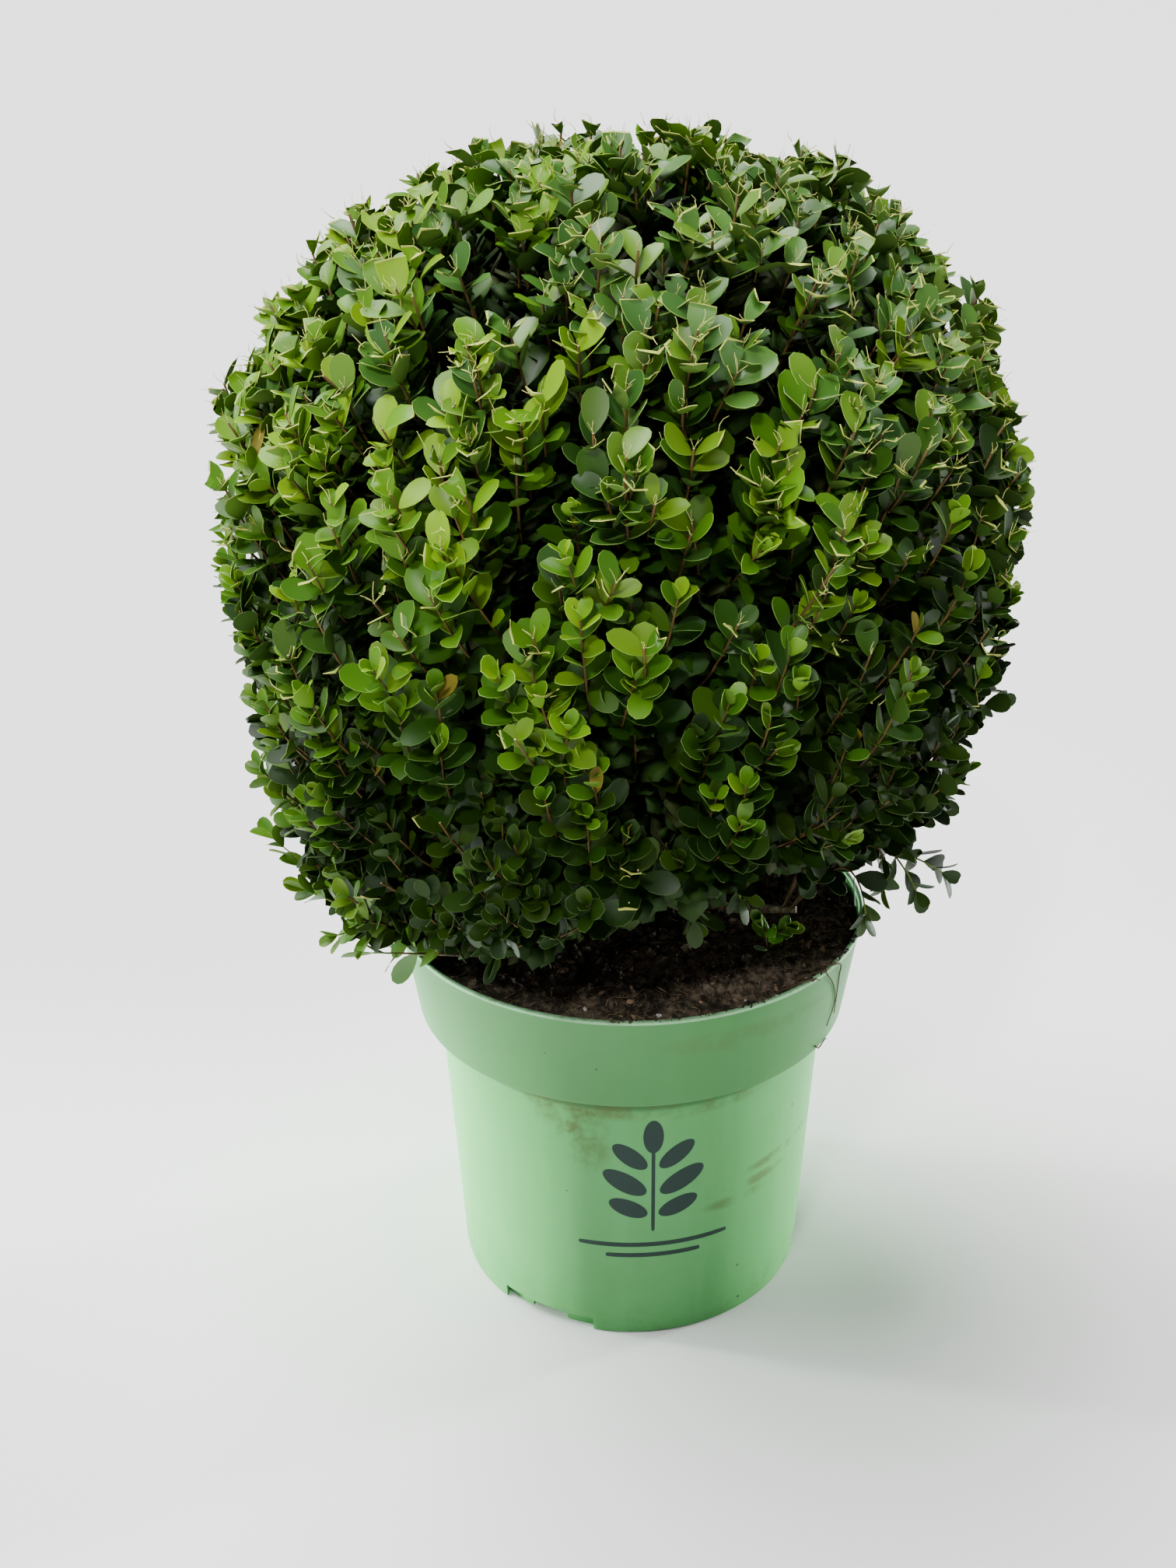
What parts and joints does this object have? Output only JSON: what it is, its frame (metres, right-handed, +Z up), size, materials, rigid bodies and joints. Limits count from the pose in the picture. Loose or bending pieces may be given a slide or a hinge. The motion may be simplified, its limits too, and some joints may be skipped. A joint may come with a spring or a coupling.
{
  "type": "potted box topiary ball",
  "caption": "Clipped ball of small-leaved box on a short hidden stem, growing in a round green plastic nursery pot.",
  "frame": {"origin": "on the ground under the middle of the pot", "axes": "+Z up along the pot's axis; -Y is the side seen from the front"},
  "size_m": [0.4284, 0.4285, 0.6741],
  "materials": {
    "pot": "satin",
    "soil": "matte",
    "bark": "matte",
    "foliage": "satin"
  },
  "bodies": {
    "root": {"pot": "pot", "soil": "soil", "stem": "bark", "bough_1": "bark", "bough_2": "bark", "bough_3": "bark", "bough_4": "bark", "bough_5": "bark", "bough_6": "bark", "leader": "bark", "bough_low_left": "bark", "bough_low_right": "bark", "foliage_ball": "foliage", "low_spray_left": "foliage", "low_spray_right": "foliage", "basal_shoot": "foliage"}
  },
  "joints": []
}
